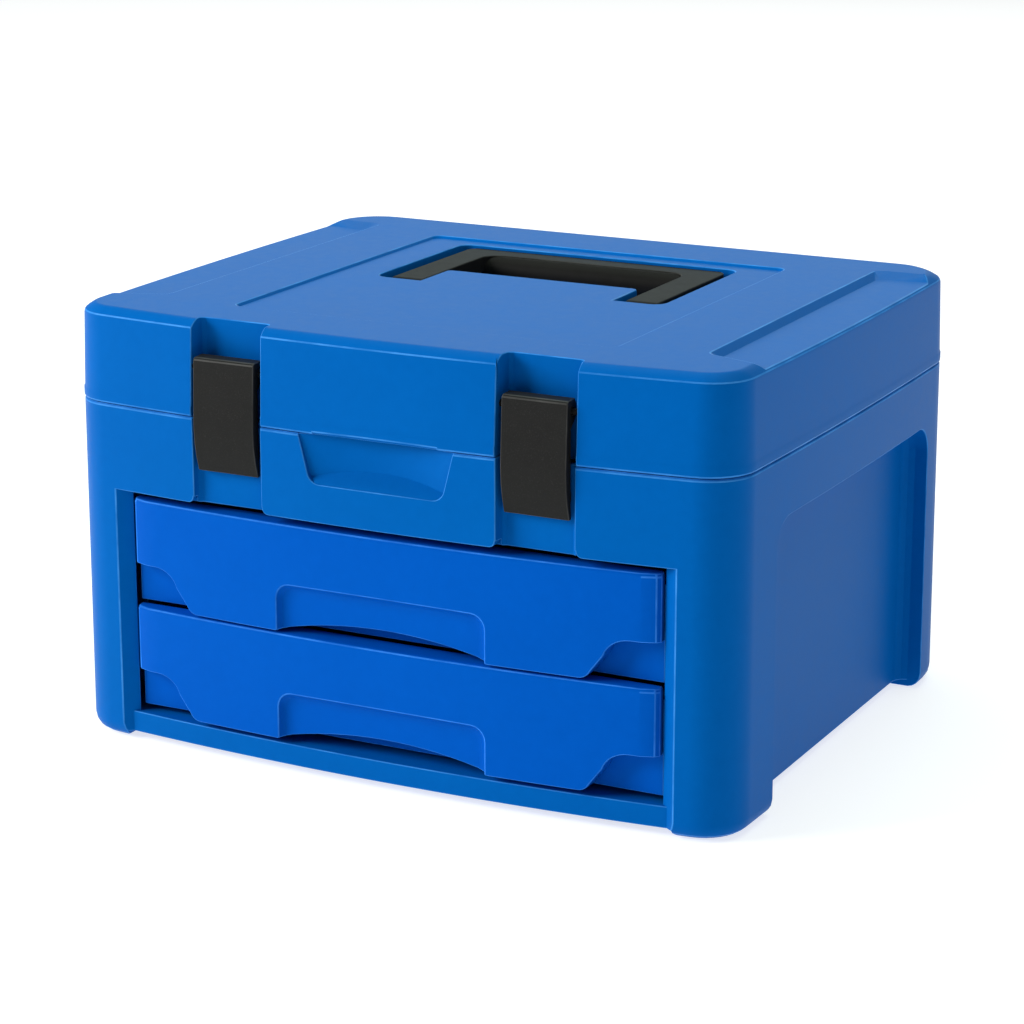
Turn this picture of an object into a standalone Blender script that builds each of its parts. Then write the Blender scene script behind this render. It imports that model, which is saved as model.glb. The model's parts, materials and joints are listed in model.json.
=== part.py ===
"""Parts organizer: a latched carrying case with a top compartment and two drawers.

Millimetres are used for every named size and turned into metres as the meshes are made.
+Z is up, the front faces -Y, and the origin is the middle of the footprint at floor level.
A point is given as (x, depth, z), where depth is the distance behind the front's foremost point.
"""
import math

import bmesh
import bpy
from mathutils import Matrix, Vector

MM = 0.001

# Overall size
WIDTH = 404.0
DEPTH = 338.2
SEAM_Z = 193.4
LID_TOP_Z = 246.3
WALL = 3.0
GAP = 0.3
PIN_CLEARANCE = 0.1

# Plan outline: a bowed front, slightly bowed sides and rounded corners
FRONT_BOW = 12.5
SIDE_BOW = 2.0
FRONT_CORNER_R = 26.7
BACK_CORNER_R = 33.0
BASE_FLARE = 1.0
FRONT_ARC_R = (200.0 ** 2 + FRONT_BOW ** 2) / (2 * FRONT_BOW)
FRONT_STEPS = 28
CORNER_STEPS = 8
SIDE_STEPS = 6

# Rear hinges, outside the back wall
HINGE_X = 115.0
HINGE_OFFSET = 5.5
HINGE_BARREL_R = 4.3
HINGE_PIN_R = 1.8
HINGE_BODY_LENGTH = 30.0
HINGE_LID_LENGTH = 14.0
HINGE_DEPTH = DEPTH + HINGE_OFFSET
HINGE_OPEN_GAP = 0.4

# The frame: half of the footprint's depth lies in front of the origin
FRONT_Y = -(HINGE_DEPTH + HINGE_BARREL_R) / 2

# Drawer bay
BAY_HALF_WIDTH = 160.6
BAY_TOP_Z = 145.4
RAIL_TOP_Z = 16.0
RAIL_BOTTOM_Z = 4.0
RAIL_INSET = 4.0
RAIL_HALF_WIDTH = 175.0
REVEAL_HALF_WIDTH = 169.0
REVEAL_DEPTH = 7.0
JAMB_BACK = 31.0
BASE_THICKNESS = 2.8
INNER_HALF_WIDTH = 184.0
INNER_FRONT = 15.0
LEDGE_Z = 163.5

# Side recesses between the corner posts
RECESS_DEPTH = 15.4
RECESS_FRONT = 65.0
RECESS_BACK = 294.0
RECESS_TOP_Z = 160.5
RECESS_CORNER_R = 16.0
FOOT_INNER_X = 167.5
FOOT_EDGE_R = 3.4

# Latch channels and latches
CHANNEL_INNER_X = 70.0
CHANNEL_OUTER_X = 115.0
CHANNEL_DRAFT = 1.6
CHANNEL_COVE = 2.6
CHANNEL_BODY_DEPTH = 8.8
CHANNEL_LID_DEPTH = 16.6
CHANNEL_MIDDLE_X = (CHANNEL_INNER_X + CHANNEL_OUTER_X) / 2
LATCH_HALF_WIDTH = 18.7
LATCH_BOTTOM_Z = 164.4
LATCH_TOP_Z = 227.6
LATCH_PIVOT_DEPTH = 8.6
LATCH_PIVOT_Z = 221.0
LATCH_PIN_R = 1.8
CATCH_RIB_Z = 181.0
HEADER_CORNER_R = 3.5

# Finger scoop under the lid
SCOOP_HALF_WIDTH = 46.5
SCOOP_FOOT_HALF_WIDTH = 41.0
SCOOP_CORNER_R = 7.0
SCOOP_ARC_HALF = 50.0
SCOOP_DEPTH = 8.0
SCOOP_BOTTOM_Z = 166.6

# Lid top: a plateau with a strip along each side, a label panel and a handle pocket
STRIP_FLOOR_Z = 243.1
STRIP_INNER_X = 163.0
STRIP_FRONT = 50.0
STRIP_BACK = 300.0
LABEL_FLOOR_Z = 244.8
LABEL_HALF_WIDTH = 115.5
LABEL_FRONT = 48.6
LABEL_BACK = 282.0
POCKET_HALF_WIDTH = 90.0
POCKET_FRONT = 162.0
POCKET_BACK = 271.0
POCKET_TONGUE_HALF_WIDTH = 60.5
POCKET_TONGUE_BACK = 196.4
POCKET_FLOOR_Z = 221.5
POCKET_CORNER_R = 7.5

# Carrying handle
HANDLE_TOP_Z = 243.4
HANDLE_INNER_X = 64.5
HANDLE_OUTER_X = 83.5
HANDLE_PIVOT_DEPTH = 173.0
HANDLE_PIVOT_Z = 236.0
HANDLE_ARM_END_R = 7.4
HANDLE_ARM_THICKNESS = 9.0
HANDLE_GRIP_FRONT = 247.0
HANDLE_BACK = 269.0
HANDLE_GRIP_THICKNESS = 17.0
HANDLE_PIN_R = 2.5
HANDLE_CORNER_R = 6.5
HANDLE_HOLE_R = 11.0

# Drawers. The sizes are those of the lower one, and the upper one is a pitch higher
DRAWER_PITCH = 61.7
DRAWER_FRONT_BOTTOM_Z = 19.1
DRAWER_FRONT_HEIGHT = 60.4
DRAWER_FRONT_INSET = 1.5
DRAWER_FLAT_HALF_WIDTH = 150.0
DRAWER_HALF_WIDTH = 159.4
DRAWER_END_CHAMFER = 3.7
DRAWER_EDGE = 2.2
DRAWER_FRONT_BACK = 17.3
OGEE_FOOT_X = 116.0
OGEE_FOOT_R = 7.0
OGEE_TOP_X = 144.0
OGEE_WIDTH = 15.0
OGEE_MIDDLE = 10.0
OGEE_RISE = 23.2
PULL_HALF_WIDTH = 63.5
PULL_TOP = 27.0
PULL_DEPTH = 5.0
ARCH_RISE = 8.0
TRAY_HALF_WIDTH = 152.0
TRAY_FLANGE_HALF_WIDTH = 157.4
BULKHEAD_HALF_WIDTH = 159.8
TRAY_FRONT = 17.6
TRAY_BACK = 300.0
TRAY_HEIGHT = 53.0
TRAY_WALL = 2.2
DIVIDER_THICKNESS = 1.6
DIVIDER_XS = (-75.0, 0.0, 75.0)
RUNNER_FRONT = 34.0
RUNNER_BACK = 326.0
RUNNER_THICKNESS = 2.4

BLUE_CASE = (0.012, 0.125, 0.46, 1.0)
BLUE_DRAWER = (0.008, 0.135, 0.62, 1.0)
BLACK_PLASTIC = (0.030, 0.030, 0.029, 1.0)
STEEL = (0.52, 0.52, 0.53, 1.0)


# ------------------------------------------------------------------ helpers

def clear_scene():
    for thing in list(bpy.data.objects):
        bpy.data.objects.remove(thing, do_unlink=True)


def material(name, colour, roughness, metallic=0.0):
    """A Principled BSDF material with one colour and finish."""
    made = bpy.data.materials.new(name)
    made.use_nodes = True
    shader = made.node_tree.nodes["Principled BSDF"]
    shader.inputs["Base Color"].default_value = colour
    shader.inputs["Roughness"].default_value = roughness
    shader.inputs["Metallic"].default_value = metallic
    made.diffuse_color = colour
    return made


def place(x, depth, z):
    """A point of the model in metres, from its (x, depth behind the front, z)."""
    return Vector((x * MM, (FRONT_Y + depth) * MM, z * MM))


def arc(centre, radius, start, end, steps):
    """Points along a circular arc, angles in degrees."""
    turn = [math.radians(start + (end - start) * i / steps) for i in range(steps + 1)]
    return [(centre[0] + radius * math.cos(t), centre[1] + radius * math.sin(t)) for t in turn]


def mirrored(half):
    """Close a right-hand half outline, listed from the middle front outwards, with its mirror image."""
    left = [(-x, y) for x, y in reversed(half) if abs(x) > 1e-6]
    return half + left


def finish(name, bm, look=None):
    """Turn a bmesh into a named object. With no look it is a hidden cutter."""
    bmesh.ops.recalc_face_normals(bm, faces=bm.faces)
    mesh = bpy.data.meshes.new(name)
    bm.to_mesh(mesh)
    bm.free()
    made = bpy.data.objects.new(name, mesh)
    bpy.context.scene.collection.objects.link(made)
    if look is None:
        made.hide_render = True
        made.display_type = 'WIRE'
    else:
        mesh.materials.append(look)
        mesh.shade_smooth()
        mesh.set_sharp_from_angle(angle=math.radians(30))
    return made


def loft(name, rings, look=None):
    """A closed solid through rings of (x, depth, z) points that all have the same count."""
    bm = bmesh.new()
    loops = []
    for ring in rings:
        corners = [bm.verts.new(place(*point)) for point in ring]
        edges = [bm.edges.new((a, b)) for a, b in zip(corners, corners[1:] + corners[:1])]
        loops.append((corners, edges))
    for (_, lower), (_, upper) in zip(loops, loops[1:]):
        bmesh.ops.bridge_loops(bm, edges=lower + upper)
    bm.faces.new(loops[0][0])
    bm.faces.new(loops[-1][0])
    return finish(name, bm, look)


def prism_z(name, outline, low, high, look=None):
    """An (x, depth) outline extruded from z=low to z=high."""
    return loft(name, [[(x, d, z) for x, d in outline] for z in (low, high)], look)


def prism_x(name, outline, low, high, look=None):
    """A (depth, z) outline extruded from x=low to x=high."""
    return loft(name, [[(x, d, z) for d, z in outline] for x in (low, high)], look)


def prism_y(name, outline, low, high, look=None):
    """An (x, z) outline extruded from depth=low to depth=high."""
    return loft(name, [[(x, d, z) for x, z in outline] for d in (low, high)], look)


def box(name, low, high, look=None):
    """A block between two opposite (x, depth, z) corners."""
    bm = bmesh.new()
    bmesh.ops.create_cube(bm, size=1.0)
    a, b = place(*low), place(*high)
    bmesh.ops.scale(bm, verts=bm.verts, vec=b - a)
    bmesh.ops.translate(bm, verts=bm.verts, vec=(a + b) / 2)
    return finish(name, bm, look)


def rod_x(name, low, high, depth, z, radius, look=None, segments=24):
    """A round rod along X."""
    bm = bmesh.new()
    turn = Matrix.Rotation(math.radians(90), 4, 'Y')
    centre = Matrix.Translation(place((low + high) / 2, depth, z))
    bmesh.ops.create_cone(bm, cap_ends=True, segments=segments, radius1=radius * MM, radius2=radius * MM,
                          depth=abs(high - low) * MM, matrix=centre @ turn)
    return finish(name, bm, look)


def combine(target, tool, operation='DIFFERENCE'):
    """Add an exact Boolean of tool to target, and hide the tool."""
    step = target.modifiers.new(tool.name, 'BOOLEAN')
    step.operation = operation
    step.solver = 'EXACT'
    step.object = tool
    return target


def cut(target, *tools):
    for tool in tools:
        combine(target, tool)


def add(target, *tools):
    for tool in tools:
        combine(target, tool, 'UNION')


def joint_empty(name, x, depth, z):
    """An empty on a joint's axis, which its moving pieces are parented to."""
    empty = bpy.data.objects.new(name, None)
    empty.location = place(x, depth, z)
    bpy.context.scene.collection.objects.link(empty)
    return empty


def hang_on(empty, pieces):
    """Parent pieces to a joint's empty and leave them where they are."""
    for piece in pieces:
        piece.parent = empty
        piece.matrix_parent_inverse = Matrix.Translation(-empty.location)


# ------------------------------------------------------------------ outlines

def front_depth(x, inset=0.0):
    """Depth of the bowed front at x, on the curve that lies inset behind the outer one."""
    radius = FRONT_ARC_R - inset
    return FRONT_ARC_R - math.sqrt(radius ** 2 - x ** 2)


def front_run(x_start, x_end, inset, steps):
    """Points along the bowed front between two places."""
    xs = [x_start + (x_end - x_start) * i / steps for i in range(steps + 1)]
    return [(x, front_depth(x, inset)) for x in xs]


def plan(inset=0.0, flare=0.0, zones=(), back=0.0):
    """The plan outline, inset all round, with flare added at the sides and back taken off the back.

    zones lists (x limit, depth) from the middle outwards. Where a depth is given, the front runs
    straight at that depth, and where it is None the front follows the bow.
    """
    half = WIDTH / 2 - inset + flare
    front_r = max(FRONT_CORNER_R - inset, 3.0)
    back_r = max(BACK_CORNER_R - inset, 3.0)
    side = half - SIDE_BOW
    front_cx = side - front_r
    front_cy = FRONT_ARC_R - math.sqrt((FRONT_ARC_R - inset - front_r) ** 2 - front_cx ** 2)
    lean = math.degrees(math.asin(front_cx / (FRONT_ARC_R - inset - front_r)))
    back_cx = side - back_r
    back_cy = DEPTH - inset - back - back_r
    front_end = (FRONT_ARC_R - inset) * math.sin(math.radians(lean))

    outline = []
    x_from = 0.0
    for x_to, depth in tuple(zones) + ((front_end, None),):
        if depth is None:
            steps = max(1, round(FRONT_STEPS / 2 * (x_to - x_from) / front_end))
            outline += front_run(x_from, x_to, inset, steps)
        else:
            outline += [(x_from, depth), (x_to, depth)]
        x_from = x_to
    outline += arc((front_cx, front_cy), front_r, lean - 90, 0, CORNER_STEPS)[1:]
    middle = (front_cy + back_cy) / 2
    for i in range(1, SIDE_STEPS):
        depth = front_cy + (back_cy - front_cy) * i / SIDE_STEPS
        bulge = 1 - ((depth - middle) / (back_cy - middle)) ** 2
        outline.append((side + SIDE_BOW * bulge, depth))
    outline += arc((back_cx, back_cy), back_r, 0, 90, CORNER_STEPS)
    return mirrored(outline)


def rounded_rectangle(x_low, x_high, y_low, y_high, radius, steps=5):
    corners = (((x_high - radius, y_low + radius), -90), ((x_high - radius, y_high - radius), 0),
               ((x_low + radius, y_high - radius), 90), ((x_low + radius, y_low + radius), 180))
    outline = []
    for centre, start in corners:
        outline += arc(centre, radius, start, start + 90, steps)
    return outline


def at_height(outline, z):
    return [(x, d, z) for x, d in outline]


# ------------------------------------------------------------------ case

def reveal_cutter(name):
    """The recess around the drawers: a bowed slot whose sides slant inwards, open at the bottom."""
    slant = (REVEAL_HALF_WIDTH - BAY_HALF_WIDTH) / REVEAL_DEPTH
    ahead = 4.0
    mouth = REVEAL_HALF_WIDTH + slant * ahead
    back = front_run(BAY_HALF_WIDTH, -BAY_HALF_WIDTH, REVEAL_DEPTH, FRONT_STEPS)
    edge = front_depth(mouth) - ahead
    outline = [(-mouth, edge), (-mouth, -20.0), (mouth, -20.0), (mouth, edge)] + back
    return prism_z(name, outline, -5.0, BAY_TOP_Z)


def rail(name):
    """The bowed bar under the drawers. Its ends run into the corner posts."""
    face = front_run(-RAIL_HALF_WIDTH, RAIL_HALF_WIDTH, RAIL_INSET, FRONT_STEPS)
    back = front_run(RAIL_HALF_WIDTH, -RAIL_HALF_WIDTH, REVEAL_DEPTH + WALL, FRONT_STEPS)
    return prism_z(name, face + back, RAIL_BOTTOM_Z - 1.0, RAIL_TOP_Z)


def side_recess_cutter(name, side):
    """The hollow in a case side, open at the bottom, with rounded upper corners and a coved floor."""
    floor_x = WIDTH / 2 - RECESS_DEPTH

    def ring(x, shrink):
        r = RECESS_CORNER_R - shrink / 2
        front, back, top = RECESS_FRONT + shrink / 3, RECESS_BACK - shrink, RECESS_TOP_Z - shrink / 2
        outline = [(front, -5.0)] + arc((front + r, top - r), r, 180, 90, 7)
        outline += arc((back - r, top - r), r, 90, 0, 7) + [(back, -5.0)]
        return [(side * x, d, z) for d, z in outline]

    rings = [ring(floor_x, 8.0), ring(floor_x + 0.9, 4.4), ring(floor_x + 3.0, 1.6), ring(floor_x + 6.5, 0.0)]
    return loft(name, rings + [ring(WIDTH / 2 + 6, 0.0)])


def channel_cutter(name, side, depth, z_low, z_high):
    """A latch channel: a flat floor between slanted sides, with a cove along each side."""
    ahead = -8.0
    cove = CHANNEL_COVE
    near = CHANNEL_INNER_X + CHANNEL_DRAFT / 2
    far = CHANNEL_OUTER_X - CHANNEL_DRAFT / 2
    outline = [(near - CHANNEL_DRAFT, ahead), (far + CHANNEL_DRAFT, ahead), (far, depth - cove)]
    outline += [(far - 0.25 * cove, depth - 0.45 * cove), (far - cove, depth), (near + cove, depth)]
    outline += [(near + 0.25 * cove, depth - 0.45 * cove), (near, depth - cove)]
    return prism_z(name, [(side * x, d) for x, d in outline], z_low, z_high)


def scoop_cutter(name):
    """The finger scoop: a hollow that is round in plan and runs out on a sloping ledge."""
    rise = SEAM_Z + 4 - SCOOP_BOTTOM_Z
    foot, r = SCOOP_FOOT_HALF_WIDTH, SCOOP_CORNER_R
    spread = (SCOOP_HALF_WIDTH - foot) * (rise / (SEAM_Z - SCOOP_BOTTOM_Z))
    corner = arc((foot - r, SCOOP_BOTTOM_Z + r), r, -90, -10, 6)
    view = mirrored([(0.0, SCOOP_BOTTOM_Z)] + corner + [(foot + spread, SEAM_Z + 4)])
    mould = prism_y(name, view, -6.0, 20.0)

    radius = (SCOOP_ARC_HALF ** 2 + SCOOP_DEPTH ** 2) / (2 * SCOOP_DEPTH)
    reach = math.degrees(math.asin(SCOOP_ARC_HALF / radius))
    hollow = arc((0.0, SCOOP_DEPTH - radius), radius, 90 - reach, 90 + reach, 23)
    hollow = [(x, d + front_depth(SCOOP_HALF_WIDTH)) for x, d in hollow]
    plan_view = [(SCOOP_ARC_HALF, -12.0)] + hollow + [(-SCOOP_ARC_HALF, -12.0)]
    combine(mould, prism_z(f"{name}_hollow", plan_view, 150.0, 210.0), 'INTERSECT')
    ramp = [(-12.0, SCOOP_BOTTOM_Z - 12.4), (24.0, SCOOP_BOTTOM_Z + 23.6), (24.0, 215.0), (-12.0, 215.0)]
    combine(mould, prism_x(f"{name}_ramp", ramp, -80.0, 80.0), 'INTERSECT')
    return mould


def header_corner(name, side, edge, way):
    """What is taken off a lower corner of the header beside a latch channel to round it."""
    r = HEADER_CORNER_R
    x = edge - way
    centre = (edge + way * r, BAY_TOP_Z + r)
    turn = arc(centre, r, 180 if way > 0 else 0, 270, 5) if way > 0 else arc(centre, r, 0, -90, 5)
    outline = [(x, BAY_TOP_Z - 3), (x, BAY_TOP_Z + r)] + turn + [(centre[0], BAY_TOP_Z - 3)]
    return prism_y(name, [(side * px, z) for px, z in outline], -6.0, CHANNEL_BODY_DEPTH - 0.5)


def hinge_knuckle(name, x_low, x_high, up):
    """A hinge barrel with the web that ties it to the case (up=-1) or the lid (up=1)."""
    r = HINGE_BARREL_R
    clear = 0.7
    start = math.degrees(math.asin(clear / r))
    barrel = arc((0.0, 0.0), r, 180 - start, 450, 22)
    outline = [(-HINGE_OFFSET - 1.5, clear)] + barrel + [(-HINGE_OFFSET - 1.5, 2.4 * r)]
    points = [(HINGE_DEPTH + y, SEAM_Z + up * z) for y, z in outline]
    return prism_x(name, points, x_low, x_high)


def build_case(look):
    """The case body: outer walls, corner posts with feet, header, rail and base in one moulding."""
    # Each level: height, inset
    levels = ((0.0, 8.0), (0.7, 5.2), (2.4, 2.6), (5.2, 0.8), (9.0, 0.0), (SEAM_Z - 1.2, 0.0),
              (SEAM_Z - 0.2, 0.8))
    rings = []
    for z, inset in levels:
        flare = BASE_FLARE * (1 - z / SEAM_Z)
        rings.append(at_height(plan(inset, flare), z))
    shell = loft("case_shell", rings, look)

    rim = plan(WALL, 0.0, ((118.5, 12.2),))
    cut(shell, prism_z("cut_rim", rim, LEDGE_Z, SEAM_Z + 5))
    inner = rounded_rectangle(-INNER_HALF_WIDTH, INNER_HALF_WIDTH, INNER_FRONT, DEPTH - WALL, 6.0, 3)
    cut(shell, prism_z("cut_inside", inner, RAIL_TOP_Z, LEDGE_Z + 0.1))
    cut(shell, reveal_cutter("cut_reveal"))
    cut(shell, box("cut_opening", (-BAY_HALF_WIDTH, REVEAL_DEPTH - 2, RAIL_TOP_Z),
                   (BAY_HALF_WIDTH, 60.0, BAY_TOP_Z)))
    add(shell, rail("add_rail"))

    # Hollow corner posts, behind the jambs and inside the back legs
    for side in (-1, 1):
        jamb = BAY_HALF_WIDTH + WALL
        behind = RECESS_FRONT - 5.5
        post = [(jamb, 60.0), (jamb, 20.5), (172.0, 13.2), (178.0, 14.2), (188.0, 18.5), (194.0, 27.0),
                (195.0, 40.0), (195.0, behind), (183.0, behind)]
        post = [(side * x, depth) for x, depth in post]
        cut(shell, prism_z(f"cut_post_{side}", post, RAIL_TOP_Z, RECESS_TOP_Z - 2))
        leg = rounded_rectangle(min(side * 150, side * 192.0), max(side * 150, side * 192.0),
                                RECESS_BACK + 5, DEPTH - WALL - 0.2, 18.0, 5)
        cut(shell, prism_z(f"cut_leg_{side}", leg, RAIL_TOP_Z, RECESS_TOP_Z - 2))
        cut(shell, side_recess_cutter(f"cut_side_{side}", side))
        cut(shell, channel_cutter(f"cut_channel_{side}", side, CHANNEL_BODY_DEPTH,
                                  BAY_TOP_Z - 3, SEAM_Z + 5))
        centre = side * CHANNEL_MIDDLE_X
        rib = [(CHANNEL_BODY_DEPTH + 1, CATCH_RIB_Z - 2.5), (CHANNEL_BODY_DEPTH - 1.3, CATCH_RIB_Z - 0.8),
               (CHANNEL_BODY_DEPTH - 1.3, CATCH_RIB_Z + 0.8), (CHANNEL_BODY_DEPTH + 1, CATCH_RIB_Z + 2.5)]
        add(shell, prism_x(f"add_rib_{side}", rib, centre - 14, centre + 14))

        for edge, way in ((CHANNEL_INNER_X, -1), (CHANNEL_OUTER_X, 1)):
            cut(shell, header_corner(f"cut_header_{side}_{way}", side, edge, way))
    cut(shell, scoop_cutter("cut_scoop"))

    # The base is a thin plate behind the rail, clear of the floor between the four feet
    r = FOOT_EDGE_R
    edge = arc((FOOT_INNER_X + r, r), r, -90, -180, 4)
    under = [(0.0, -5.0), (FOOT_INNER_X + r, -5.0)] + edge
    under += [(FOOT_INNER_X, RAIL_BOTTOM_Z), (0.0, RAIL_BOTTOM_Z)]
    cut(shell, prism_y("cut_under_middle", mirrored(under), -10.0, DEPTH + 10))
    cut(shell, box("cut_base", (-158.0, 14.0, -5.0), (158.0, DEPTH - 8.0, RAIL_TOP_Z - BASE_THICKNESS)))
    cut(shell, box("cut_under_sides", (-WIDTH, RECESS_FRONT, -6.0), (WIDTH, RECESS_BACK, RAIL_BOTTOM_Z)))

    for side in (-1, 1):
        centre = side * HINGE_X
        half = HINGE_BODY_LENGTH / 2
        add(shell, hinge_knuckle(f"add_knuckle_{side}", centre - half, centre + half, -1))
        cut(shell, rod_x(f"cut_hinge_{side}", centre - 40, centre + 40, HINGE_DEPTH, SEAM_Z,
                         HINGE_PIN_R + PIN_CLEARANCE))
    return shell


def build_bay(look, dark):
    """The panels inside the case: compartment floor, side liners and drawer runners."""
    pieces = []
    floor_z = BAY_TOP_Z + 2.6
    floor = rounded_rectangle(-INNER_HALF_WIDTH + GAP, INNER_HALF_WIDTH - GAP,
                              INNER_FRONT + GAP, DEPTH - WALL - GAP, 5.8, 3)
    pieces.append(prism_z("compartment_floor", floor, floor_z, floor_z + 2.6, look))
    for side, label in ((-1, "left"), (1, "right")):
        inner = side * BAY_HALF_WIDTH
        outer = side * (BAY_HALF_WIDTH + 2.6)
        liner_low = (min(inner, outer), JAMB_BACK + 30.0, RAIL_TOP_Z + GAP)
        liner_high = (max(inner, outer), DEPTH - WALL - GAP, floor_z - GAP)
        pieces.append(box(f"bay_liner_{label}", liner_low, liner_high, look))
        for level, height in (("lower", 0), ("upper", 1)):
            z = DRAWER_FRONT_BOTTOM_Z + height * DRAWER_PITCH + TRAY_HEIGHT - 3.0 - GAP
            foot = BAY_HALF_WIDTH - GAP
            leg = foot - RUNNER_THICKNESS
            tip = TRAY_HALF_WIDTH + 1.2
            profile = [(side * foot, z + 5), (side * foot, z - 7), (side * leg, z - 7),
                       (side * leg, z - RUNNER_THICKNESS), (side * tip, z - RUNNER_THICKNESS),
                       (side * tip, z), (side * leg, z), (side * leg, z + 5)]
            pieces.append(prism_y(f"runner_{level}_{label}", profile, RUNNER_FRONT, RUNNER_BACK, dark))
    return pieces


# ------------------------------------------------------------------ lid

def strip_cutter(name, side):
    """The sunk strip along one side of the lid top, open to the side and closed at both ends."""
    def ring(grow, z):
        inner = STRIP_INNER_X + 4.6 - grow * 1.44
        front = STRIP_FRONT + 4 - grow * 1.2
        back = STRIP_BACK - 9.0 + grow * 3.1
        r = 6.0
        outline = [(250.0, front - 22.0), (inner + r, front + 6.0)]
        outline += arc((inner + r, front + 6.0 + r), r, 270, 180, 4)[1:]
        outline += arc((inner + r, back - r), r, 180, 90, 4)
        outline += [(250.0, back + 3.0)]
        return [(side * x, d, z) for x, d in outline]

    rise = LID_TOP_Z - STRIP_FLOOR_Z
    return loft(name, [ring(0.0, STRIP_FLOOR_Z), ring(rise + 2.0, LID_TOP_Z + 2.0)])


def label_cutter(name):
    """The shallow label panel in the lid top."""
    def ring(grow, z):
        return at_height(rounded_rectangle(-LABEL_HALF_WIDTH - grow, LABEL_HALF_WIDTH + grow,
                                           LABEL_FRONT - grow, LABEL_BACK + grow, 6.0 + grow, 4), z)

    return loft(name, [ring(-1.5, LABEL_FLOOR_Z), ring(1.5, 2 * LID_TOP_Z - LABEL_FLOOR_Z)])


def pocket_outline(grow):
    """The U-shaped handle pocket in plan. grow widens it all round."""
    outer = POCKET_HALF_WIDTH + grow
    tongue = POCKET_TONGUE_HALF_WIDTH - grow
    front = POCKET_FRONT - grow
    back = POCKET_BACK + grow
    notch = POCKET_TONGUE_BACK - grow
    r = POCKET_CORNER_R + grow / 2
    half = [(0.0, notch)]
    half += arc((tongue - 3, notch - 3), 3, 90, 0, 3)
    half += [(tongue, front)]
    half += arc((outer - r, front + r), r, -90, 0, 4)
    half += arc((outer - r, back - r), r, 0, 90, 4)
    return mirrored(half)


def build_lid(look):
    """The lid: a shell with draughted walls, rounded top edges and everything cut into its top."""
    base = SEAM_Z + 0.2
    # Each level: height, inset, side flare, extra inset at the back
    levels = ((base, 0.5, 0.0, 0.0), (base + 0.7, -0.3, 0.0, 0.0), (base + 5.0, -0.3, 0.0, 0.0),
              (base + 6.2, 0.2, 0.0, 0.0), (240.0, 2.0, 0.9, 0.2), (242.1, 2.2, 0.7, 0.9),
              (243.9, 4.0, 0.2, 2.2), (245.2, 5.8, 0.0, 3.6), (246.0, 7.4, 0.0, 4.6),
              (LID_TOP_Z, 8.9, 0.0, 5.2))
    rings = [at_height(plan(inset, flare, (), back), z) for z, inset, flare, back in levels]
    shell = loft("lid_shell", rings, look)

    zones = ((CHANNEL_INNER_X - 3.5, None), (CHANNEL_OUTER_X + 3.5, CHANNEL_LID_DEPTH + WALL))
    inside = loft("cut_lid_inside", [at_height(plan(inset, 0.0, zones), z)
                                     for z, inset in ((base - 5, 3.2), (LEDGE_Z + 50, 4.2), (239.8, 6.5))])
    under = 3.0
    cut(inside, box("keep_pocket",
                    (-POCKET_HALF_WIDTH - under, POCKET_FRONT - under, POCKET_FLOOR_Z - under),
                    (POCKET_HALF_WIDTH + under, POCKET_BACK + under, LID_TOP_Z)))
    cut(shell, inside)
    cut(shell, label_cutter("cut_label"))
    pocket = [at_height(pocket_outline(grow), z)
              for z, grow in ((POCKET_FLOOR_Z, -0.8), (LABEL_FLOOR_Z - 1.0, 0.0),
                              (LABEL_FLOOR_Z + 3.0, 1.2))]
    cut(shell, loft("cut_pocket", pocket))
    lip = [(-4.0, base - 1), (1.6, base - 1), (1.6, base), (-1.4, base + 3.0), (-4.0, base + 3.0)]
    cut(shell, prism_x("cut_lip", lip, -37.0, 37.0))

    for side in (-1, 1):
        cut(shell, strip_cutter(f"cut_strip_{side}", side))
        cut(shell, channel_cutter(f"cut_lid_channel_{side}", side, CHANNEL_LID_DEPTH,
                                  SEAM_Z - 5, LID_TOP_Z + 5))
        middle = side * CHANNEL_MIDDLE_X
        reach = (CHANNEL_OUTER_X - CHANNEL_INNER_X) / 2 + 2.2
        cut(shell, rod_x(f"cut_latch_pin_{side}", middle - reach, middle + reach, LATCH_PIVOT_DEPTH,
                         LATCH_PIVOT_Z, LATCH_PIN_R + PIN_CLEARANCE))
        cut(shell, rod_x(f"cut_handle_pin_{side}", side * (POCKET_TONGUE_HALF_WIDTH - 4),
                         side * (POCKET_HALF_WIDTH + 2), HANDLE_PIVOT_DEPTH, HANDLE_PIVOT_Z,
                         HANDLE_PIN_R + PIN_CLEARANCE))
        for end in (-1, 1):
            near = side * HINGE_X + end * (HINGE_BODY_LENGTH / 2 + HINGE_OPEN_GAP)
            far = near + end * HINGE_LID_LENGTH
            add(shell, hinge_knuckle(f"add_lid_knuckle_{side}_{end}", min(near, far), max(near, far), 1))
        cut(shell, rod_x(f"cut_lid_hinge_{side}", side * HINGE_X - 40, side * HINGE_X + 40,
                         HINGE_DEPTH, SEAM_Z, HINGE_PIN_R + PIN_CLEARANCE))
    return shell


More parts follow.
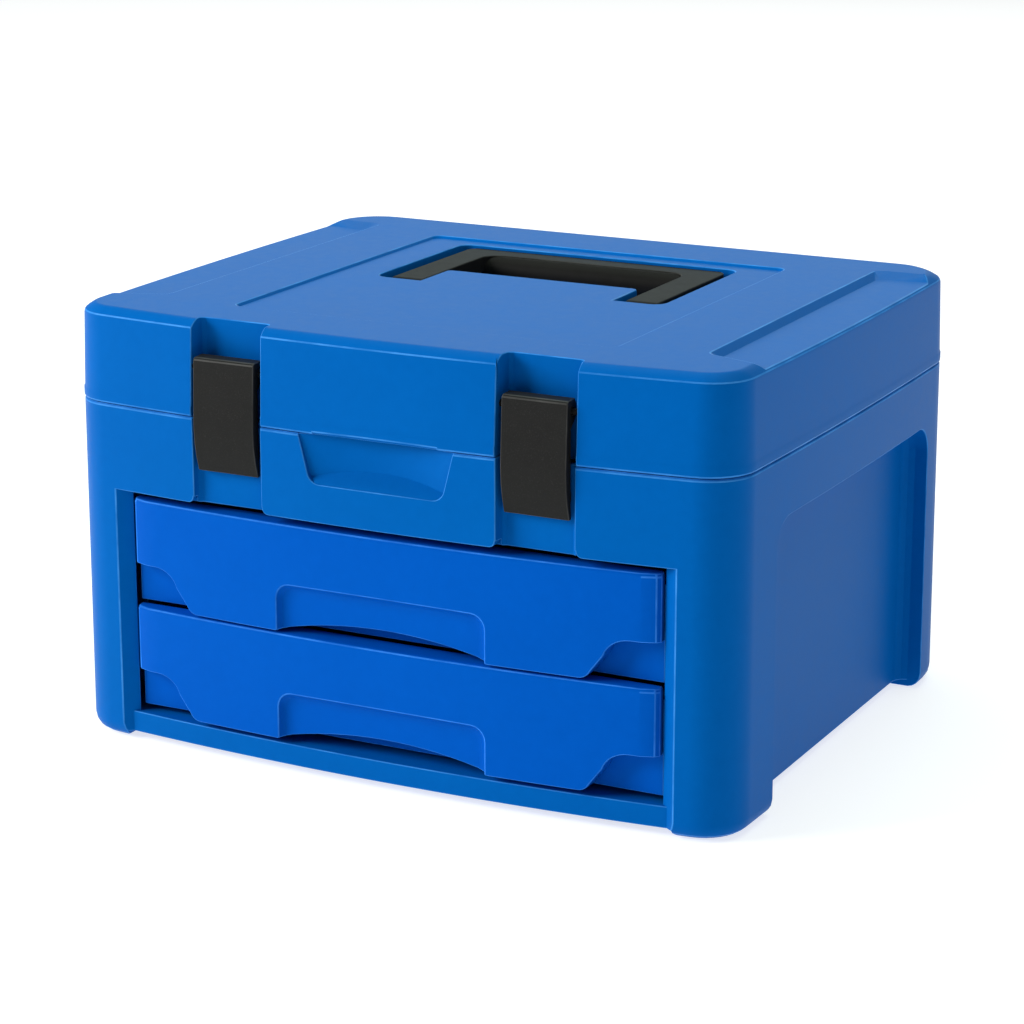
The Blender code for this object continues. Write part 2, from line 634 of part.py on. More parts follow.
def build_pins(look, dark):
    """Pins: steel ones in the hinges and the handle, moulded ones in the latches."""
    pins = {"case": [], "lid": []}
    reach = HINGE_BODY_LENGTH / 2 + HINGE_OPEN_GAP + HINGE_LID_LENGTH
    for side, label in ((-1, "left"), (1, "right")):
        x = side * HINGE_X
        pins["case"].append(rod_x(f"hinge_pin_{label}", x - reach, x + reach, HINGE_DEPTH,
                                  SEAM_Z, HINGE_PIN_R, look))
        x = side * CHANNEL_MIDDLE_X
        half = (CHANNEL_OUTER_X - CHANNEL_INNER_X) / 2 + 1.8
        pins["lid"].append(rod_x(f"latch_pin_{label}", x - half, x + half, LATCH_PIVOT_DEPTH,
                                 LATCH_PIVOT_Z, LATCH_PIN_R, dark))
        pins["lid"].append(rod_x(f"handle_pin_{label}", side * (POCKET_TONGUE_HALF_WIDTH - 3),
                                 side * (POCKET_HALF_WIDTH + 1.5), HANDLE_PIVOT_DEPTH, HANDLE_PIVOT_Z,
                                 HANDLE_PIN_R, look))
    return pins


def build_latch(side, label, look):
    """A draw latch: a curved plate with a hinge barrel at its top and a snap bead near its foot."""
    back = 6.4
    profile = [(0.2, 190.0), (1.0, 208.0), (1.9, LATCH_TOP_Z - 1.6), (3.2, LATCH_TOP_Z - 0.4)]
    profile += [(10.6, LATCH_TOP_Z), (12.4, LATCH_TOP_Z - 3.0), (12.6, LATCH_PIVOT_Z - 2.0)]
    profile += [(10.6, LATCH_PIVOT_Z - 5.0)]
    profile += [(back, LATCH_PIVOT_Z - 9.0), (back, CATCH_RIB_Z + 1.0), (back + 0.8, CATCH_RIB_Z - 3.0)]
    profile += [(back + 0.8, CATCH_RIB_Z - 5.5), (back, CATCH_RIB_Z - 8.0), (7.2, LATCH_BOTTOM_Z)]
    profile += [(4.6, LATCH_BOTTOM_Z), (2.2, 172.5), (0.8, 180.5)]
    x = side * CHANNEL_MIDDLE_X
    latch = prism_x(f"latch_{label}", profile, x - LATCH_HALF_WIDTH, x + LATCH_HALF_WIDTH, look)
    cut(latch, rod_x(f"cut_latch_bore_{label}", x - 30, x + 30, LATCH_PIVOT_DEPTH, LATCH_PIVOT_Z,
                     LATCH_PIN_R + PIN_CLEARANCE))
    hang_on(joint_empty(f"latch_{label}_axis", x, LATCH_PIVOT_DEPTH, LATCH_PIVOT_Z), [latch])
    return latch


def build_handle(look):
    """The bail handle: two arms from the pins to a grip with a rounded finger side."""
    r = HANDLE_ARM_END_R
    top = HANDLE_TOP_Z
    pivot = (HANDLE_PIVOT_DEPTH, HANDLE_PIVOT_Z)
    arm_low = top - HANDLE_ARM_THICKNESS
    arm = arc(pivot, r, 90, 250, 10)
    arm += [(HANDLE_PIVOT_DEPTH + 12, arm_low), (HANDLE_BACK - 8, arm_low), (HANDLE_BACK, top - 5),
            (HANDLE_BACK, top - 1), (HANDLE_BACK - 1, top)]
    width = HANDLE_OUTER_X
    frame = prism_x("handle", arm, -width, width, look)
    hole = rounded_rectangle(-HANDLE_INNER_X, HANDLE_INNER_X, HANDLE_PIVOT_DEPTH - 40,
                             HANDLE_GRIP_FRONT + 8.0, HANDLE_HOLE_R, 6)
    cut(frame, prism_z("cut_handle_hole", hole, top - 60, top + 20))

    ends = rounded_rectangle(-HANDLE_OUTER_X, HANDLE_OUTER_X, HANDLE_PIVOT_DEPTH - 60, HANDLE_BACK,
                             HANDLE_CORNER_R, 6)
    combine(frame, prism_z("keep_handle_corners", ends, top - 60, top + 20), 'INTERSECT')

    # The grip is a D-shaped bar: flat on top, round towards the fingers
    half = HANDLE_GRIP_THICKNESS / 2
    centre = (HANDLE_GRIP_FRONT + half, top - half - 0.4)
    grip = [(HANDLE_BACK - 2.0, top - 0.6), (HANDLE_GRIP_FRONT + 7.0, top - 0.6)]
    grip += arc(centre, half, 110, 270, 12)
    grip += [(HANDLE_BACK - 5, centre[1] - half + 1), (HANDLE_BACK - 2, centre[1])]
    add(frame, prism_x("add_grip", grip, -HANDLE_INNER_X - 6, HANDLE_INNER_X + 6))
    cut(frame, rod_x("cut_handle_bore", -120, 120, *pivot, HANDLE_PIN_R + PIN_CLEARANCE))
    hang_on(joint_empty("handle_axis", 0.0, *pivot), [frame])
    return frame


# ------------------------------------------------------------------ drawers

def ogee_outline(bottom):
    """Front view of a drawer front: stepped lower corners and a shallow finger arch."""
    top = bottom + DRAWER_FRONT_HEIGHT + 5
    shoulder = bottom + OGEE_RISE
    ogee = arc((OGEE_FOOT_X, bottom + OGEE_FOOT_R), OGEE_FOOT_R, -90, -25, 5)
    for step in range(9):
        t = math.radians(15 + 75 * step / 8)
        ogee.append((OGEE_TOP_X - OGEE_WIDTH * math.cos(t),
                     bottom + OGEE_MIDDLE + (OGEE_RISE - OGEE_MIDDLE) * math.sin(t)))
    half = PULL_HALF_WIDTH + 1
    radius = (half ** 2 + ARCH_RISE ** 2) / (2 * ARCH_RISE)
    reach = math.degrees(math.asin(half / radius))
    arch = arc((0.0, bottom + ARCH_RISE - radius), radius, 90, 90 - reach, 8)
    right = arch + ogee + [(DRAWER_HALF_WIDTH + 5, shoulder), (DRAWER_HALF_WIDTH + 5, top)]
    return mirrored(right)


def build_drawer(level, row, look):
    """One drawer: front panel, tray and three dividers."""
    bottom = DRAWER_FRONT_BOTTOM_Z + row * DRAWER_PITCH
    top = bottom + DRAWER_FRONT_HEIGHT

    def slab(inset, z):
        flat = DRAWER_FLAT_HALF_WIDTH
        depth = DRAWER_FRONT_INSET + inset
        end = DRAWER_HALF_WIDTH - inset / 2
        half = front_run(0.0, flat, depth, 14)
        half += [(end - 2.0, front_depth(flat, depth) + DRAWER_END_CHAMFER * 0.7),
                 (end, front_depth(flat, depth) + DRAWER_END_CHAMFER * 1.3), (end, DRAWER_FRONT_BACK)]
        return at_height(mirrored(half), z)

    front = loft(f"drawer_front_{level}", [slab(0.0, bottom - 5), slab(0.0, top - DRAWER_EDGE),
                                           slab(0.7, top - 0.6), slab(DRAWER_EDGE, top)], look)
    combine(front, prism_y(f"keep_front_{level}", ogee_outline(bottom), -10.0, 40.0), 'INTERSECT')

    # Pull recess, wider at its mouth than at its floor
    def pull(half, rise, depth, r):
        outline = [(-half, bottom - 8)] + [(half, bottom - 8)]
        outline += arc((half - r, bottom + rise - r), r, 0, 90, 5)
        outline += arc((-half + r, bottom + rise - r), r, 90, 180, 5)
        return [(x, depth, z) for x, z in outline]

    face = DRAWER_FRONT_INSET
    rings = [pull(PULL_HALF_WIDTH + 0.6, PULL_TOP + 0.8, face - 1.0, 8.5)]
    rings += [pull(PULL_HALF_WIDTH - 1.0, PULL_TOP - 1.2, face + 3.0, 8.0)]
    rings += [pull(PULL_HALF_WIDTH - 2.6, PULL_TOP - 3.0, face + 4.6, 7.5)]
    rings += [pull(PULL_HALF_WIDTH - 6.5, PULL_TOP - 7.0, face + PULL_DEPTH + 0.6, 7.0)]
    cut(front, loft(f"cut_pull_{level}", rings))

    # Hollow behind the face, open to the tray
    hollow = front_run(-118.0, 118.0, DRAWER_FRONT_INSET + WALL, 12) + [(118.0, 30.0), (-118.0, 30.0)]
    cut(front, prism_z(f"cut_hollow_{level}", hollow, bottom + PULL_TOP + 4, top - 3.2))
    for side in (-1, 1):
        low, high = sorted((side * 72.0, side * 118.0))
        pocket = front_run(low, high, DRAWER_FRONT_INSET + WALL, 4) + [(high, 30.0), (low, 30.0)]
        cut(front, prism_z(f"cut_hollow_{level}_{side}", pocket, bottom + 3.2, bottom + PULL_TOP + 4.1))

    # Tray: bin, flanges that hang on the runners and a wider front wall
    tray_top = bottom + TRAY_HEIGHT
    tray_bottom = bottom + 0.4
    tray = box(f"drawer_tray_{level}", (-TRAY_HALF_WIDTH, TRAY_FRONT, tray_bottom),
               (TRAY_HALF_WIDTH, TRAY_BACK, tray_top), look)
    wall = TRAY_WALL
    add(tray, box(f"add_flange_{level}", (-TRAY_FLANGE_HALF_WIDTH, TRAY_FRONT, tray_top - 3.0),
                  (TRAY_FLANGE_HALF_WIDTH, TRAY_BACK - 12, tray_top)))
    add(tray, box(f"add_bulkhead_{level}", (-BULKHEAD_HALF_WIDTH, TRAY_FRONT, tray_bottom),
                  (BULKHEAD_HALF_WIDTH, TRAY_FRONT + wall, tray_top)))
    bin_outline = rounded_rectangle(-TRAY_HALF_WIDTH + wall, TRAY_HALF_WIDTH - wall,
                                    TRAY_FRONT + wall, TRAY_BACK - wall, 3.0, 3)
    cut(tray, prism_z(f"cut_bin_{level}", bin_outline, tray_bottom + wall, tray_top + 5))
    pieces = [front, tray]
    for number, x in enumerate(DIVIDER_XS, start=1):
        low = (x - DIVIDER_THICKNESS / 2, TRAY_FRONT + wall + GAP, tray_bottom + wall + GAP)
        high = (x + DIVIDER_THICKNESS / 2, TRAY_BACK - wall - GAP, tray_top - 4.0)
        pieces.append(box(f"divider_{level}_{number}", low, high, look))
    hang_on(joint_empty(f"drawer_{level}_axis", 0.0, TRAY_FRONT, bottom), pieces)
    return pieces


def main():
    clear_scene()
    case_blue = material("case_plastic", BLUE_CASE, 0.38)
    drawer_blue = material("drawer_plastic", BLUE_DRAWER, 0.36)
    black = material("black_plastic", BLACK_PLASTIC, 0.5)
    steel = material("pin_steel", STEEL, 0.3, 1.0)

    build_case(case_blue)
    build_bay(case_blue, black)
    lid = build_lid(case_blue)
    pins = build_pins(steel, black)
    hang_on(joint_empty("lid_axis", 0.0, HINGE_DEPTH, SEAM_Z), [lid] + pins["lid"])
    for side, label in ((-1, "left"), (1, "right")):
        build_latch(side, label, black)
    build_handle(black)
    for row, level in enumerate(("lower", "upper")):
        build_drawer(level, row, drawer_blue)


main()
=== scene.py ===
# %% [markdown]
# # Parts organizer
#
# A moulded carrying case: a blue body on four corner posts, a hinged lid with two black snap latches,
# two brighter blue drawers and a black folding handle. The imported CAD model is the frame. It holds every
# size and every joint, so this script only adds what a moulding shop adds, rounded edges and grain, and a
# painted highlight along the edges.

import json
import math

import bmesh
import bpy
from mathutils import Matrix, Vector


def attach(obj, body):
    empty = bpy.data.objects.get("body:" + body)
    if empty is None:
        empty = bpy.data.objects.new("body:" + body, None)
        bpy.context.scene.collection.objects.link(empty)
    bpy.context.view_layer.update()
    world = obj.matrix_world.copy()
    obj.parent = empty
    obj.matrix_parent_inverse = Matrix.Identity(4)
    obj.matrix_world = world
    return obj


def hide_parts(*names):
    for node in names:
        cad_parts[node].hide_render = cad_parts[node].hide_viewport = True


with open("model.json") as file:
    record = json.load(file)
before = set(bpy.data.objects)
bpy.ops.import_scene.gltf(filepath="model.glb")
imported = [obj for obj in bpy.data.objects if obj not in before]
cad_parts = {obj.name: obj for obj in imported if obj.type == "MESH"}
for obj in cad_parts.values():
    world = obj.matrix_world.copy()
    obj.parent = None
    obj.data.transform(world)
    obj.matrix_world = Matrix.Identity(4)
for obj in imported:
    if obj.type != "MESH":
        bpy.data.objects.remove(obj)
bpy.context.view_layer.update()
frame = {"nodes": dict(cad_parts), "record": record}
MM = 0.001

# %% [markdown]
# ## Shader maths
#
# Moulded plastic is many small variations on one colour. Each is a little sum, and sums are easier to
# read as expressions than as a web of nodes, so one small class wraps a socket and lets the usual signs
# add Math nodes.


# %% A socket that can be added, multiplied and mixed
class Field:
    """A value that varies over the surface."""

    def __init__(self, finish, socket):
        self.finish = finish
        self.socket = socket

    def _math(self, operation, a, b, clamp=False):
        settings = {"operation": operation, "use_clamp": clamp}
        made = self.finish.node("ShaderNodeMath", settings, {0: a, 1: b})
        return self.finish.field(made, 0)

    def __add__(self, other):
        return self._math("ADD", self, other)

    def __radd__(self, other):
        return self._math("ADD", other, self)

    def __sub__(self, other):
        return self._math("SUBTRACT", self, other)

    def __rsub__(self, other):
        return self._math("SUBTRACT", other, self)

    def __mul__(self, other):
        return self._math("MULTIPLY", self, other)

    def __rmul__(self, other):
        return self._math("MULTIPLY", other, self)

    def clamp(self):
        return self._math("ADD", self, 0.0, clamp=True)

    def above(self, start, end):
        """0 below start, 1 above end and a straight ramp between."""
        return ((self - start) * (1.0 / (end - start))).clamp()


# %% A finish: one material and the few nodes that vary it
MIX_FACTOR = 0
MIX_FIRST_COLOUR = 6
MIX_SECOND_COLOUR = 7
MIX_COLOUR_OUT = 2


class Finish:
    """A material whose nodes read each piece's own Object coordinates."""

    def __init__(self, name):
        self.material = bpy.data.materials.new(name)
        self.material.use_nodes = True
        self.tree = self.material.node_tree
        self.shader = self.tree.nodes["Principled BSDF"]
        self.place = self.tree.nodes.new("ShaderNodeTexCoord").outputs["Object"]

    def node(self, kind, settings, inputs):
        """Add a node, set it up, then fill its sockets with values or links."""
        made = self.tree.nodes.new(kind)
        for key, value in settings.items():
            setattr(made, key, value)
        for key, value in inputs.items():
            self.feed(made.inputs[key], value)
        return made

    def feed(self, socket, value):
        if isinstance(value, Field):
            value = value.socket
        if isinstance(value, bpy.types.NodeSocket):
            self.tree.links.new(value, socket)
        else:
            socket.default_value = value

    def field(self, made, output):
        return Field(self, made.outputs[output])

    def stretched(self, x, y, z):
        """Object coordinates scaled apart, for a pattern with a direction."""
        made = self.node("ShaderNodeMapping", {}, {"Vector": self.place, "Scale": (x, y, z)})
        return made.outputs[0]

    def noise(self, scale, detail=3.0, roughness=0.5, where=None):
        made = self.node("ShaderNodeTexNoise", {"noise_dimensions": "3D"},
                         {"Vector": where or self.place, "Scale": scale,
                          "Detail": detail, "Roughness": roughness})
        return self.field(made, 0)

    def pits(self, scale):
        made = self.node("ShaderNodeTexVoronoi", {"feature": "F1"},
                         {"Vector": self.place, "Scale": scale})
        return self.field(made, 0)

    def blend(self, factor, a, b):
        """Mix two colours."""
        made = self.node("ShaderNodeMix", {"data_type": "RGBA"},
                         {MIX_FACTOR: factor, MIX_FIRST_COLOUR: a, MIX_SECOND_COLOUR: b})
        return made.outputs[MIX_COLOUR_OUT]

    def relief(self, height, depth, strength):
        """Bump from a height field. depth is the height of 1.0 in metres."""
        made = self.node("ShaderNodeBump", {},
                         {"Height": height, "Distance": depth, "Strength": strength})
        self.feed(self.shader.inputs["Normal"], made.outputs[0])

    def set(self, **values):
        for key, value in values.items():
            self.feed(self.shader.inputs[key.replace("_", " ")], value)


# %% [markdown]
# ## Moulded plastic
#
# The case, drawers, latches and handle all come out of spark-eroded moulds, so they carry a fine, even,
# slightly pebbled grain. The grain breaks the reflections up and makes the plastic look satin. Each
# plastic gets a soft cloud of colour variation and the grain as bump. A printed image of plastic could
# do it too, but a procedural grain is right at every scale and on every side.
#
# The rounds along the outer edges are a little smoother, and their colour is a painted highlight: paler,
# in patches. So each plastic is made twice, once for its faces and once for the rounds along its edges.

# %% How many clouds, spots and pebbles lie along a metre, and how they are mixed
CLOUDS = 14.0
HIGHLIGHT_PATCHES = 45.0
MOTTLE = 170.0
PEBBLES = 1500.0
SPECKS = 1900.0
FINE_GRAIN = 2600.0

CLOUD_SHARE, MOTTLE_SHARE = 0.55, 0.45
PEBBLE_SHARE, FINE_SHARE = 0.6, 0.4
LEAST_HIGHLIGHT, PATCHY_HIGHLIGHT = 0.4, 0.6
MOTTLED_ROUGHNESS, CLOUDED_ROUGHNESS = 0.10, 0.06
MIDDLE_TONE = 0.5
GRAIN_STRENGTH = 0.5
EDGE_SMOOTHER = 0.08
print("one pebble of the grain is about", round(1.0 / (PEBBLES * MM), 2), "mm across")


# %% A moulded plastic
def grained(name, deep, pale, pale_highlight_and_speck, roughness,
            grain=0.00006, specks=0.0, sheen=0.045, tint=(1, 1, 1, 1), highlight_amount=0.0):
    """Two close tones and a pebbled grain, with pale specks if asked. The pale tone is the colour of the
    specks and of a painted edge highlight; the highlight amount is how far the colour goes towards it as
    painted highlight.
    """
    look = Finish(name)
    clouds = look.noise(CLOUDS, detail=4.0, roughness=0.6)
    mottle = look.noise(MOTTLE, detail=3.0, roughness=0.6)
    pebble = look.pits(PEBBLES)
    fine = look.noise(FINE_GRAIN, detail=2.0, roughness=0.5)
    tone = (clouds * CLOUD_SHARE + mottle * MOTTLE_SHARE).above(start=0.35, end=0.65)
    # The patches and the pale tone they lead to make a painted highlight along the edges.
    patches = look.noise(HIGHLIGHT_PATCHES, detail=3.0, roughness=0.6).above(start=0.35, end=0.62)
    highlight_mask = patches * PATCHY_HIGHLIGHT + LEAST_HIGHLIGHT
    base = look.blend(tone, deep, pale)
    if specks:
        spots = look.noise(SPECKS, detail=1.0, roughness=0.4).above(start=0.60, end=0.70)
        base = look.blend(spots * specks, base, pale_highlight_and_speck)
    # On the edge finish the colour goes paler in patches: a painted highlight.
    if highlight_amount:
        base = look.blend(highlight_mask * highlight_amount, base, pale_highlight_and_speck)
    uneven = roughness + (mottle - MIDDLE_TONE) * MOTTLED_ROUGHNESS
    uneven = uneven + (clouds - MIDDLE_TONE) * CLOUDED_ROUGHNESS
    look.set(Base_Color=base, Roughness=uneven.clamp(), Specular_IOR_Level=sheen, Specular_Tint=tint)
    look.relief(pebble * PEBBLE_SHARE + fine * FINE_SHARE, grain, GRAIN_STRENGTH)
    return look.material


def with_edge(name, deep, pale, pale_highlight_and_speck, roughness, highlight_amount, **more):
    """A plastic, and the same plastic with a painted highlight along its edges."""
    face = grained(name, deep, pale, pale_highlight_and_speck, roughness, **more)
    smoother = roughness - EDGE_SMOOTHER
    # The edge finish carries the painted highlight.
    edge = grained(name + "_painted_edge_highlight", deep, pale, pale_highlight_and_speck, smoother, highlight_amount=highlight_amount, **more)
    return face, edge


# %% [markdown]
# ## Blue mouldings
#
# The case and lid are polypropylene, and the drawers are a brighter blue from the same kind of mould.
# The plastic is deeply pigmented. A clear varnish over a blue would give white glints everywhere, so
# instead the little light that the surface returns straight on is tinted blue, and only light that
# glances off it stays white. That keeps the blue pure on the front and lets the top go pale towards the
# back.

# %% The blue plastics
blue_glint = (0.1, 0.5, 1.0, 1)
# The pale tone of each blue is the colour of a painted highlight along its edges.
case_plastic = with_edge("case_blue_plastic", deep=(0.0, 0.100, 0.390, 1), pale=(0.0, 0.108, 0.418, 1),
                         pale_highlight_and_speck=(0.06, 0.30, 0.76, 1), roughness=0.40, highlight_amount=0.7, tint=blue_glint)
drawer_plastic = with_edge("drawer_blue_plastic", deep=(0.0, 0.083, 0.445, 1), pale=(0.0, 0.090, 0.475, 1),
                           pale_highlight_and_speck=(0.05, 0.28, 0.88, 1), roughness=0.38, highlight_amount=0.7, tint=blue_glint)
print("mixed", case_plastic[0].name, "and", drawer_plastic[0].name)

# %% [markdown]
# ## Black mouldings
#
# The latches and the handle are black, which hides the wear of fingers. Pure black would lose the shape,
# so each is a very dark grey. One black could serve them all, but they feel different: the latches have
# the deepest grain and a few pale specks, the handle has the shallowest because it is held, and the
# runners are a plain dark grey.

# %% The black plastics
# The pale tone of each black is the colour of a painted edge highlight, and on the latches also of the
# specks.
latch_plastic = with_edge("latch_black_plastic", deep=(0.0095, 0.0095, 0.0092, 1),
                          pale=(0.0115, 0.0115, 0.011, 1), pale_highlight_and_speck=(0.08, 0.08, 0.076, 1),
                          roughness=0.46, highlight_amount=0.6, grain=0.00008, specks=0.12, sheen=0.10)
handle_plastic = with_edge("handle_black_plastic", deep=(0.0115, 0.011, 0.0102, 1),
                           pale=(0.014, 0.0135, 0.0125, 1), pale_highlight_and_speck=(0.06, 0.06, 0.056, 1),
                           roughness=0.42, highlight_amount=0.6, grain=0.00004, sheen=0.02)
runner_plastic = with_edge("runner_black_plastic", deep=(0.03, 0.03, 0.03, 1), pale=(0.04, 0.04, 0.04, 1),
                           pale_highlight_and_speck=(0.1, 0.1, 0.1, 1), roughness=0.45, highlight_amount=0.4)
print("mixed", latch_plastic[0].name, "and", handle_plastic[0].name, "and", runner_plastic[0].name)

# %% [markdown]
# ## Steel pins
#
# The pins are cut from drawn wire, so fine scratches run along them. A brushed image could be wrapped
# round each pin, but stretching a noise along X, the way that every pin lies, gives the scratches with
# nothing to wrap.

# %% Drawn steel
SCRATCHES = 900.0
STAINS = 120.0
ALONG_THE_PIN = 0.03
SCRATCH_DEPTH = 0.00002
SCRATCH_STRENGTH = 0.4
BRIGHTEST_ROUGHNESS = 0.22
SCRATCHED_ROUGHNESS = 0.2


def drawn_steel(name):
    """Bare wire: scratches along X, a few darker stains."""
    look = Finish(name)
    along = look.stretched(ALONG_THE_PIN, 1.0, 1.0)
    lines = look.noise(SCRATCHES, detail=3.0, roughness=0.6, where=along)
    stains = look.noise(STAINS, detail=2.0, roughness=0.5)
    bare = look.blend(stains, (0.42, 0.42, 0.43, 1), (0.56, 0.56, 0.57, 1))
    look.set(Base_Color=bare, Metallic=1.0, Roughness=BRIGHTEST_ROUGHNESS + lines * SCRATCHED_ROUGHNESS)
    look.relief(lines, SCRATCH_DEPTH, SCRATCH_STRENGTH)
    return look.material


pin_steel = (drawn_steel("drawn_steel"), drawn_steel("drawn_steel_rim"))
print("drew", pin_steel[0].name)

# %% [markdown]
# ## Rounded edges
#
# No edge of a moulding is knife sharp: the mould is cut with round cutters and the plastic must leave it.
# A CAD solid has sharp edges, so each piece is a copy of its CAD node with a small round on its outer
# edges. The copy is merged first, because a CAD node is loose triangles. Its flat triangles are
# dissolved into whole faces, so that the round follows the real edges and no others. The outside sizes
# stay those of the frame. In some narrow places the round still folds over itself, by less than a
# millimetre.
#
# The narrow faces of each round take the edge finish, whose paler colour is a painted highlight along the
# outer edges. A real moulding has a small fillet in its inner corners too. They are left crisp here,
# because nothing rubs them and they hardly show.

# %% Copy a CAD node's mesh and weigh its outer edges
MERGE_WITHIN = 0.000004
FLAT_WITHIN = math.radians(0.15)
EDGE_BEYOND = math.radians(24.0)


def merged_copy(node):
    """A CAD node's mesh as whole faces, with full bevel weight on its outer edges."""
    mesh = frame["nodes"][node].data.copy()
    bm = bmesh.new()
    bm.from_mesh(mesh)
    bmesh.ops.remove_doubles(bm, verts=bm.verts, dist=MERGE_WITHIN)
    bmesh.ops.dissolve_limit(bm, angle_limit=FLAT_WITHIN, verts=bm.verts, edges=bm.edges)
    bmesh.ops.recalc_face_normals(bm, faces=bm.faces)
    for face in bm.faces:
        face.smooth = True
    outer = bm.edges.layers.float.new("bevel_weight_edge")
    for edge in bm.edges:
        if edge.is_manifold and edge.calc_face_angle_signed() > EDGE_BEYOND:
            edge[outer] = 1.0
        if edge.is_manifold and edge.calc_face_angle() > EDGE_BEYOND:
            edge.smooth = False
    bm.to_mesh(mesh)
    bm.free()
    return mesh


# %% Round a piece and hand it to its body
ROUND_SEGMENTS = 2
ROUND_FINISH = 1
FLAT_FACE_WEIGHT = 90


def moulded(node, finishes, body, radius):
    """A piece that stands for a CAD node, with its outer edges rounded and given a painted highlight."""
    mesh = merged_copy(node)
    mesh.materials.clear()
    for finish in finishes:
        mesh.materials.append(finish)
    piece = bpy.data.objects.new(node + "_moulded", mesh)
    bpy.context.scene.collection.objects.link(piece)
    round_edges = piece.modifiers.new("rounded edges", "BEVEL")
    round_edges.limit_method = "WEIGHT"
    # The rounds take the finish that carries the painted edge highlight.
    round_edges.material = ROUND_FINISH
    round_edges.width = radius
    round_edges.segments = ROUND_SEGMENTS
    round_edges.use_clamp_overlap = False
    round_edges.harden_normals = True
    flat_faces = piece.modifiers.new("flat faces stay flat", "WEIGHTED_NORMAL")
    flat_faces.weight = FLAT_FACE_WEIGHT
    flat_faces.keep_sharp = True
    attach(piece, body)
    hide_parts(node)
    return piece


# %% [markdown]
# ## The pieces
#
# The record says which body each node moves with and which material it is made of, so one loop makes
# every piece. Listing the 28 pieces by hand would do the same, and would fall out of step when the frame
# changes. The record knows one black plastic. The handle and the runners have a feel of their own, so
# they are told apart here.

# %% Mould every piece
MOULDED_ROUND = 0.5 * MM
PIN_ROUND = 0.25 * MM

bodies = frame["record"]["behaviour"]["bodies"]
body_of = {node: body for body, nodes in bodies.items() for node in nodes}
slot_of = {entry["node"]: entry["material_slot"] for entry in frame["record"]["subparts"]}
finish_of = {"case_plastic": case_plastic, "drawer_plastic": drawer_plastic,
             "black_plastic": latch_plastic, "pin_steel": pin_steel}
for node in sorted(frame["nodes"]):
    slot = slot_of[node]
    finishes = finish_of[slot]
    if node == "handle":
        finishes = handle_plastic
    if node.startswith("runner"):
        finishes = runner_plastic
    radius = PIN_ROUND if slot == "pin_steel" else MOULDED_ROUND
    piece = moulded(node, finishes, body_of[node], radius)
    print(piece.name, len(piece.data.polygons), "faces before rounding")

# %% [markdown]
# ## Paper floor
#
# A product on white stands on a bright sweep of paper. White paper under lamps alone goes grey away from
# them, so the paper here glows a little by itself. It stays white all round the object and still takes a
# faint contact shadow.

# %% The floor
FLOOR_HALF_SIZE = 40.0
FLOOR_BELOW_FEET = 0.5 * MM
PAPER_CLOUDS = 3.0
PAPER_GLOW = 0.70

bm = bmesh.new()
bmesh.ops.create_grid(bm, x_segments=1, y_segments=1, size=FLOOR_HALF_SIZE)
floor_mesh = bpy.data.meshes.new("floor")
bm.to_mesh(floor_mesh)
bm.free()
floor = bpy.data.objects.new("floor", floor_mesh)
floor.location = (0.0, 0.0, -FLOOR_BELOW_FEET)
bpy.context.scene.collection.objects.link(floor)
paper = Finish("white_paper")
paper_tone = paper.blend(paper.noise(PAPER_CLOUDS), (0.5, 0.5, 0.5, 1), (0.52, 0.52, 0.52, 1))
paper.set(Base_Color=paper_tone, Roughness=0.9,
          Emission_Color=(1.0, 1.0, 1.0, 1), Emission_Strength=PAPER_GLOW)
floor_mesh.materials.append(paper.material)
print("the floor is", 2 * FLOOR_HALF_SIZE, "m wide")

# %% [markdown]
# ## Lights
#
# One large soft light stands at the front left and gives the front its even tone and the right side its
# shade. A weaker one overhead lifts the top, a small one at the right keeps the side readable, and one
# behind the object gives the top its pale sheen. The two that reach the top are tinted a little towards
# green and cyan, as daylight through window glass is. Small bright lamps would do for the shapes, but
# soft wide ones suit a satin plastic.


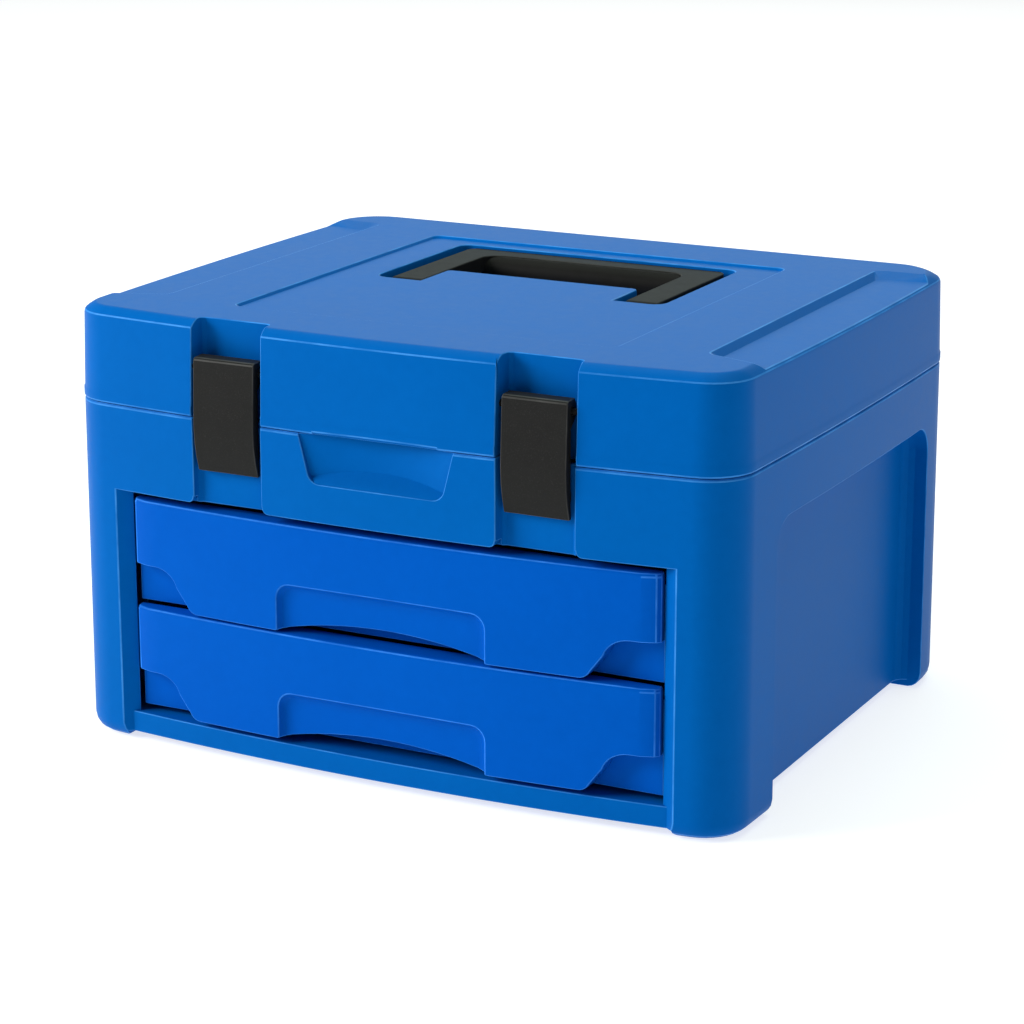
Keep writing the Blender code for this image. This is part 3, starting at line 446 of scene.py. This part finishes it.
# %% Four soft lights and a bright room
def softbox(name, place, target, size, power, colour=(1, 1, 1)):
    """A wide soft light at place, turned to face target. size is in metres and power in watts."""
    data = bpy.data.lights.new(name, "AREA")
    data.shape = "RECTANGLE"
    data.size, data.size_y = size
    data.energy = power
    data.color = colour
    lamp = bpy.data.objects.new(name, data)
    lamp.location = place
    lamp.rotation_euler = (Vector(target) - Vector(place)).to_track_quat("-Z", "Y").to_euler()
    bpy.context.scene.collection.objects.link(lamp)
    print(name, "gives", power, "W")


LOW_ON_THE_FRONT = (0, 0, 0.1)
TOP_OF_THE_LID = (0, 0, 0.2)
ROOM_LIGHT = 0.26

softbox("left key", place=(-2.45, -1.75, 1.5), target=LOW_ON_THE_FRONT, size=(1.6, 1.6), power=112)
softbox("overhead", place=(0.0, 0.3, 2.2), target=LOW_ON_THE_FRONT, size=(2.0, 1.6), power=32,
        colour=(0.80, 1.0, 0.88))
softbox("right fill", place=(3.0, 0.4, 0.9), target=LOW_ON_THE_FRONT, size=(1.2, 1.2), power=6)
softbox("back sheen", place=(-1.3, 3.2, 1.5), target=TOP_OF_THE_LID, size=(3.0, 1.6), power=17,
        colour=(0.80, 1.0, 1.0))

world = bpy.data.worlds.new("studio")
world.use_nodes = True
world.node_tree.nodes["Background"].inputs["Color"].default_value = (1.0, 1.0, 1.0, 1)
world.node_tree.nodes["Background"].inputs["Strength"].default_value = ROOM_LIGHT
bpy.context.scene.world = world
bpy.context.scene.view_settings.view_transform = "Standard"

# %% [markdown]
# ## Camera
#
# The case is seen from the front and a little to the right, from above its own height. A long lens from
# a metre and three quarters away keeps its sides close to parallel. A wide lens nearby would make the
# front loom.

# %% The camera
LENS_MM = 108.02
SENSOR_MM = 36.0
NEAREST_SEEN = 50 * MM
CAMERA_PLACE = Vector((0.76766, -1.51965, 0.59255))
LOOKED_AT = Vector((-0.0033, -0.00905, 0.11429))

camera_data = bpy.data.cameras.new("camera")
camera_data.lens = LENS_MM
camera_data.sensor_width = SENSOR_MM
camera_data.clip_start = NEAREST_SEEN
camera = bpy.data.objects.new("camera", camera_data)
camera.location = CAMERA_PLACE
camera.rotation_euler = (LOOKED_AT - CAMERA_PLACE).to_track_quat("-Z", "Y").to_euler()
bpy.context.scene.collection.objects.link(camera)
bpy.context.scene.camera = camera
print("the camera stands", round((LOOKED_AT - CAMERA_PLACE).length, 2), "m away")
